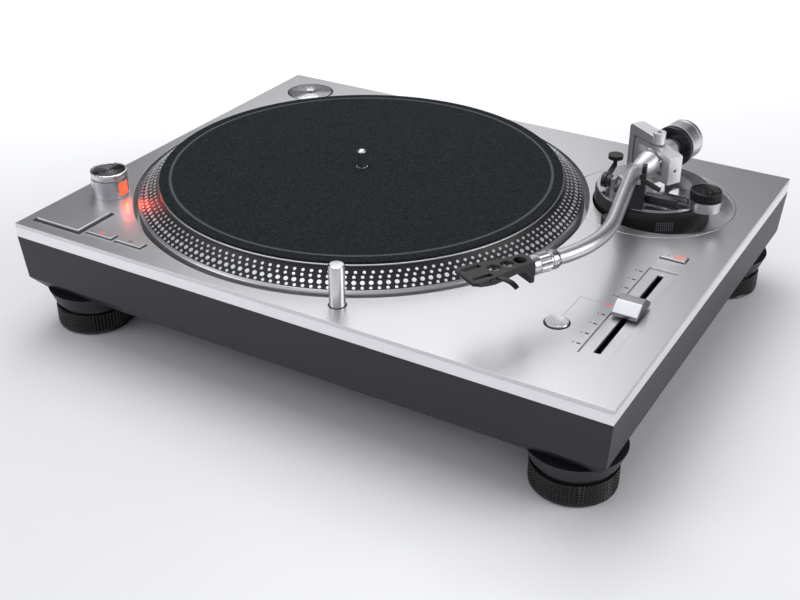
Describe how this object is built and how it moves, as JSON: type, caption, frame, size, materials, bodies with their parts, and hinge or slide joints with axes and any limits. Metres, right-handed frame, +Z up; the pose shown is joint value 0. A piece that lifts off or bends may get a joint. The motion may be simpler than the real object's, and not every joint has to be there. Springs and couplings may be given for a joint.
{
  "type": "direct drive turntable",
  "caption": "Direct drive record turntable with a dotted platter rim, S-shaped gimbal tonearm, pitch fader, pop-up stylus light and broad screw-in feet.",
  "frame": {"origin": "under the middle of the plinth, on the surface that the feet stand on", "axes": "+X to the right along the front, +Y to the rear, +Z up"},
  "size_m": [0.453, 0.353, 0.1378],
  "materials": {
    "plate": "fine brushed",
    "band": "fine satin",
    "tub": "fine satin",
    "foot": "waffle ring",
    "steel": "machined",
    "chrome": "polished",
    "board": "board green",
    "copper": "enamelled wire",
    "magnet": "sintered",
    "platter": "turned",
    "damper": "plain",
    "felt": "felt",
    "black": "plain",
    "silver": "satin",
    "glow": "clear red",
    "weight": "satin plated",
    "shell": "satin grey"
  },
  "bodies": {
    "plinth": {"adaptor_cup": "black", "arm_well": "silver", "base_tub": "tub", "bearing_housing": "steel", "cabinet_frame": "band", "fader_bezel": "silver", "fader_rail": "black", "inlet_cup": "black", "jacks_cup": "black", "key_switches": "board", "light_sleeve": "black", "main_board": "board", "mains_inlet": "black", "motor_board": "board", "motor_coils": "copper", "phono_jacks": "chrome", "power_supply": "steel", "strobe_tower": "silver", "strobe_window": "glow", "top_plate": "plate"},
    "rotor": {"spindle": "chrome", "rotor_hub": "steel", "rotor_magnet": "magnet", "platter": "platter", "platter_damper": "damper"},
    "slipmat": {"slipmat": "felt"},
    "single_adaptor": {"single_adaptor": "silver"},
    "power_knob": {"power_knob": "black"},
    "start_stop_button": {"start_stop_button": "plate"},
    "speed_button_33": {"speed_button_33": "silver"},
    "speed_button_45": {"speed_button_45": "silver"},
    "reset_button": {"reset_button": "silver"},
    "pitch_range_button": {"pitch_range_button": "silver"},
    "stylus_light": {"stylus_light": "chrome"},
    "pitch_slider": {"pitch_slider": "silver"},
    "foot_front_left": {"foot_front_left": "foot"},
    "foot_front_right": {"foot_front_right": "foot"},
    "foot_rear_left": {"foot_rear_left": "foot"},
    "foot_rear_right": {"foot_rear_right": "foot"},
    "ground_terminal": {"ground_terminal": "chrome"},
    "height_ring": {"height_ring": "black"},
    "arm_lock_lever": {"arm_lock_lever": "black"},
    "arm_base": {"arm_base": "silver", "arm_rest": "black", "gimbal_frame": "silver", "pivot_screws": "steel"},
    "rest_clamp": {"rest_clamp": "black"},
    "anti_skate_dial": {"anti_skate_dial": "black"},
    "cue_lever": {"cue_lever": "black"},
    "lift_platform": {"lift_platform": "silver"},
    "gimbal_ring": {"gimbal_ring": "silver", "side_screws": "steel"},
    "tonearm": {"bearing_block": "silver", "arm_tube": "silver", "weight_shaft": "steel"},
    "weight_core": {"weight_core": "steel"},
    "counterweight": {"counterweight": "weight"},
    "force_dial": {"force_dial": "black"},
    "locking_collar": {"locking_collar": "silver"},
    "headshell": {"headshell": "shell"}
  },
  "joints": [
    {"name": "platter_spin", "type": "hinge", "parent": "plinth", "child": "rotor", "pos_m": [-0.048, 0.002, 0.084], "axis": [0, 0, 1], "continuous": true},
    {"name": "slipmat_slip", "type": "hinge", "parent": "rotor", "child": "slipmat", "pos_m": [-0.048, 0.002, 0.0992], "axis": [0, 0, 1], "continuous": true},
    {"name": "adaptor_lift", "type": "slide", "parent": "plinth", "child": "single_adaptor", "axis": [0, 0, 1], "range_m": [0, 0.02]},
    {"name": "power_turn", "type": "hinge", "parent": "plinth", "child": "power_knob", "pos_m": [-0.201, -0.1045, 0.084], "axis": [0, 0, 1], "range_deg": [0, 45]},
    {"name": "start_stop_button_press", "type": "slide", "parent": "plinth", "child": "start_stop_button", "axis": [0, 0, -1], "range_m": [0, 0.0012], "stiffness_N_per_m": 600},
    {"name": "speed_button_33_press", "type": "slide", "parent": "plinth", "child": "speed_button_33", "axis": [0, 0, -1], "range_m": [0, 0.0012], "stiffness_N_per_m": 600},
    {"name": "speed_button_45_press", "type": "slide", "parent": "plinth", "child": "speed_button_45", "axis": [0, 0, -1], "range_m": [0, 0.0012], "stiffness_N_per_m": 600},
    {"name": "reset_button_press", "type": "slide", "parent": "plinth", "child": "reset_button", "axis": [0, 0, -1], "range_m": [0, 0.0012], "stiffness_N_per_m": 600},
    {"name": "pitch_range_button_press", "type": "slide", "parent": "plinth", "child": "pitch_range_button", "axis": [0, 0, -1], "range_m": [0, 0.0012], "stiffness_N_per_m": 600},
    {"name": "light_pop", "type": "slide", "parent": "plinth", "child": "stylus_light", "axis": [0, 0, 1], "range_m": [-0.028, 0]},
    {"name": "pitch_fade", "type": "slide", "parent": "plinth", "child": "pitch_slider", "axis": [0, 1, 0], "range_m": [-0.05, 0.05]},
    {"name": "foot_front_left_turn", "type": "hinge", "parent": "plinth", "child": "foot_front_left", "pos_m": [-0.193, -0.143, 0.01], "axis": [0, 0, 1], "range_deg": [0, 360]},
    {"name": "foot_front_right_turn", "type": "hinge", "parent": "plinth", "child": "foot_front_right", "pos_m": [0.193, -0.143, 0.01], "axis": [0, 0, 1], "range_deg": [0, 360]},
    {"name": "foot_rear_left_turn", "type": "hinge", "parent": "plinth", "child": "foot_rear_left", "pos_m": [-0.193, 0.143, 0.01], "axis": [0, 0, 1], "range_deg": [0, 360]},
    {"name": "foot_rear_right_turn", "type": "hinge", "parent": "plinth", "child": "foot_rear_right", "pos_m": [0.193, 0.143, 0.01], "axis": [0, 0, 1], "range_deg": [0, 360]},
    {"name": "ground_terminal_turn", "type": "hinge", "parent": "plinth", "child": "ground_terminal", "pos_m": [0.1185, 0.158, 0.058], "axis": [0, 1, 0], "range_deg": [0, 360]},
    {"name": "height_ring_turn", "type": "hinge", "parent": "plinth", "child": "height_ring", "pos_m": [0.1494, 0.0872, 0.084], "axis": [0, 0, 1], "range_deg": [0, 270]},
    {"name": "arm_height", "type": "slide", "parent": "plinth", "child": "arm_base", "axis": [0, 0, 1], "range_m": [0, 0.006]},
    {"name": "arm_lock_turn", "type": "hinge", "parent": "plinth", "child": "arm_lock_lever", "pos_m": [0.13634, 0.0348, 0.084], "axis": [0, 0, 1], "range_deg": [0, 60]},
    {"name": "anti_skate_turn", "type": "hinge", "parent": "arm_base", "child": "anti_skate_dial", "pos_m": [0.1924, 0.0722, 0.1026], "axis": [0, 0, 1], "range_deg": [0, 270]},
    {"name": "cue_lever_tip", "type": "hinge", "parent": "arm_base", "child": "cue_lever", "pos_m": [0.1204, 0.0642, 0.103], "axis": [1, 0, 0], "range_deg": [0, 25]},
    {"name": "lifter_rise", "type": "slide", "parent": "arm_base", "child": "lift_platform", "axis": [0, 0, 1], "range_m": [0, 0.005]},
    {"name": "arm_yaw", "type": "hinge", "parent": "arm_base", "child": "gimbal_ring", "pos_m": [0.1494, 0.0872, 0.118], "axis": [0, 0, 1], "range_deg": [-46, 0]},
    {"name": "arm_pitch", "type": "hinge", "parent": "gimbal_ring", "child": "tonearm", "pos_m": [0.1494, 0.0872, 0.115], "axis": [-0.8746, 0.4848, 0], "range_deg": [-1, 10]},
    {"name": "weight_shift", "type": "slide", "parent": "tonearm", "child": "weight_core", "axis": [0.1219, 0.9925, 0], "range_m": [-0.003, 0.003]},
    {"name": "weight_turn", "type": "hinge", "parent": "weight_core", "child": "counterweight", "pos_m": [0.1494, 0.0872, 0.118], "axis": [0.1219, 0.9925, 0], "range_deg": [-360, 360]},
    {"name": "force_dial_turn", "type": "hinge", "parent": "weight_core", "child": "force_dial", "pos_m": [0.1494, 0.0872, 0.118], "axis": [0.1219, 0.9925, 0], "range_deg": [-180, 180]},
    {"name": "collar_turn", "type": "hinge", "parent": "tonearm", "child": "locking_collar", "pos_m": [0.12137, -0.14109, 0.118], "axis": [0.4848, 0.8746, 0], "range_deg": [0, 45]},
    {"name": "headshell_pull", "type": "slide", "parent": "tonearm", "child": "headshell", "axis": [-0.4848, -0.8746, 0], "range_m": [0, 0.014]},
    {"name": "rest_clamp_swing", "type": "hinge", "parent": "arm_base", "child": "rest_clamp", "pos_m": [0.15532, 0.04396, 0.122], "axis": [0.213, -0.977, 0], "range_deg": [0, 140]}
  ],
  "couplings": [
    {"joint": "height_ring_turn", "follows": "arm_height", "rad_per_m": 785.39},
    {"joint": "cue_lever_tip", "follows": "lifter_rise", "rad_per_m": 87.26},
    {"joint": "weight_turn", "follows": "weight_shift", "rad_per_m": 2094.4}
  ]
}
